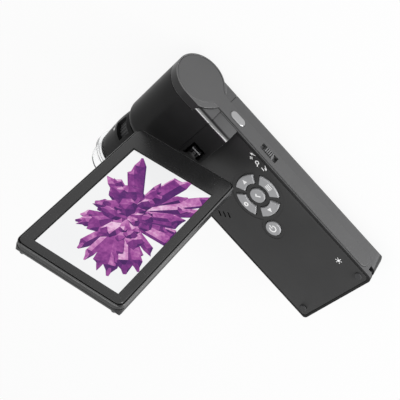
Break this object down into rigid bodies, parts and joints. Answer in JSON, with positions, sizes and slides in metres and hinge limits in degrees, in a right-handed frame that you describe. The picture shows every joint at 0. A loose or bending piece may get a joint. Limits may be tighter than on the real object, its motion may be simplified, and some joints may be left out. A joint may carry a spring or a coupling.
{
  "type": "lcd digital microscope",
  "caption": "Handheld digital microscope: flat body with keypad, crosswise lens barrel with focus wheel and clear tip, and a standing swivel screen on a hinge.",
  "frame": {"origin": "on the flat back that the body rests on, half way across it and 60 mm from the lens barrel's axis", "axes": "+Z out of the keypad, +X to the body's free end, +Y to the side with the trim plate; the lens looks along -Y"},
  "size_m": [0.1379, 0.0885, 0.1276],
  "materials": {
    "casing": "fine matt black moulding",
    "side_trim": "satin charcoal moulding",
    "panel": "satin black sheet",
    "key_grey": "satin grey rubber-coated plastic",
    "silver_button": "silver paint",
    "slider_grey": "matt grey",
    "bezel": "satin black moulding",
    "screen_glass": "glossy",
    "backlight": "white light guide",
    "circuit_board": "green solder mask",
    "steel": "bare",
    "brass": "bare",
    "rubber": "matt",
    "socket_metal": "tin plate",
    "switch_black": "matt",
    "battery_wrap": "wrapped aluminium cell",
    "nose": "matt black moulding",
    "wheel": "knurled, matt",
    "lens_glass": "polished",
    "clear_plastic": "clear, polished",
    "led_white": "white",
    "sensor_black": "glass topped chip"
  },
  "bodies": {
    "body": {"barrel_housing": "casing", "barrel_end_ring": "casing", "side_plate": "side_trim", "front_shell": "casing", "rear_shell": "casing", "hinge_cover": "casing", "key_panel": "panel", "bumper_pads": "rubber", "key_mat": "rubber", "dome_switches": "steel", "main_board": "circuit_board", "board_screws": "steel", "case_screws": "steel", "speaker": "switch_black", "usb_socket": "socket_metal", "card_socket": "socket_metal", "side_switches": "switch_black", "lanyard_bar": "steel", "battery": "battery_wrap", "battery_contacts": "brass", "hinge_bracket": "steel", "bracket_screws": "steel", "hinge_pin": "steel", "hinge_springs": "steel", "nose_sleeve": "nose", "led_ring": "circuit_board", "leds": "led_white", "clear_tip": "clear_plastic", "sensor_board": "circuit_board", "image_sensor": "sensor_black"},
    "hinge": {"hinge_knuckle": "steel", "knuckle_clip": "steel", "knuckle_screw": "steel", "swivel_shaft": "steel", "swivel_washer": "switch_black", "swivel_clip": "steel"},
    "screen": {"lcd_bezel": "bezel", "lcd_rear_cover": "bezel", "lcd_glass": "screen_glass", "lcd_backlight": "backlight", "lcd_board": "circuit_board", "lcd_screws": "steel"},
    "focus_ring": {"focus_wheel": "wheel"},
    "optics": {"lens_carriage": "nose", "front_lens": "lens_glass", "rear_lens": "lens_glass"},
    "snapshot": {"snapshot_button": "silver_button"},
    "zoom": {"zoom_slider": "slider_grey"},
    "door": {"battery_door": "casing"},
    "key_left": {"key_left": "key_grey"},
    "key_menu": {"key_menu": "key_grey"},
    "key_right": {"key_right": "key_grey"},
    "key_gallery": {"key_gallery": "key_grey"},
    "key_ok": {"key_ok": "key_grey"},
    "key_power": {"key_power": "key_grey"}
  },
  "joints": [
    {"name": "screen_tilt", "type": "hinge", "parent": "body", "child": "hinge", "pos_m": [-0.0362, 0, 0.0235], "axis": [0, 1, 0], "range_deg": [0, 20]},
    {"name": "screen_swivel", "type": "hinge", "parent": "hinge", "child": "screen", "pos_m": [-0.0362, 0, 0.031], "axis": [0, 0, 1], "range_deg": [-114, 156]},
    {"name": "focus_turn", "type": "hinge", "parent": "body", "child": "focus_ring", "pos_m": [-0.06, -0.032, 0.0135], "axis": [0, -1, 0], "range_deg": [-135, 135]},
    {"name": "focus_slide", "type": "slide", "parent": "body", "child": "optics", "axis": [0, -1, 0], "range_m": [-0.002, 0.002]},
    {"name": "key_left_press", "type": "slide", "parent": "body", "child": "key_left", "axis": [0, 0, -1], "range_m": [0, 0.0005], "stiffness_N_per_m": 800},
    {"name": "key_menu_press", "type": "slide", "parent": "body", "child": "key_menu", "axis": [0, 0, -1], "range_m": [0, 0.0005], "stiffness_N_per_m": 800},
    {"name": "key_right_press", "type": "slide", "parent": "body", "child": "key_right", "axis": [0, 0, -1], "range_m": [0, 0.0005], "stiffness_N_per_m": 800},
    {"name": "key_gallery_press", "type": "slide", "parent": "body", "child": "key_gallery", "axis": [0, 0, -1], "range_m": [0, 0.0005], "stiffness_N_per_m": 800},
    {"name": "key_ok_press", "type": "slide", "parent": "body", "child": "key_ok", "axis": [0, 0, -1], "range_m": [0, 0.0005], "stiffness_N_per_m": 800},
    {"name": "key_power_press", "type": "slide", "parent": "body", "child": "key_power", "axis": [0, 0, -1], "range_m": [0, 0.0005], "stiffness_N_per_m": 800},
    {"name": "snapshot_press", "type": "slide", "parent": "body", "child": "snapshot", "axis": [0, -1, 0], "range_m": [0, 0.0008], "stiffness_N_per_m": 700},
    {"name": "zoom_slide", "type": "slide", "parent": "body", "child": "zoom", "axis": [1, 0, 0], "range_m": [-0.0016, 0.0016], "stiffness_N_per_m": 300},
    {"name": "door_slide", "type": "slide", "parent": "body", "child": "door", "axis": [1, 0, 0], "range_m": [0, 0.004]}
  ],
  "couplings": [
    {"joint": "focus_slide", "follows": "focus_turn", "m_per_rad": 0.000848}
  ]
}
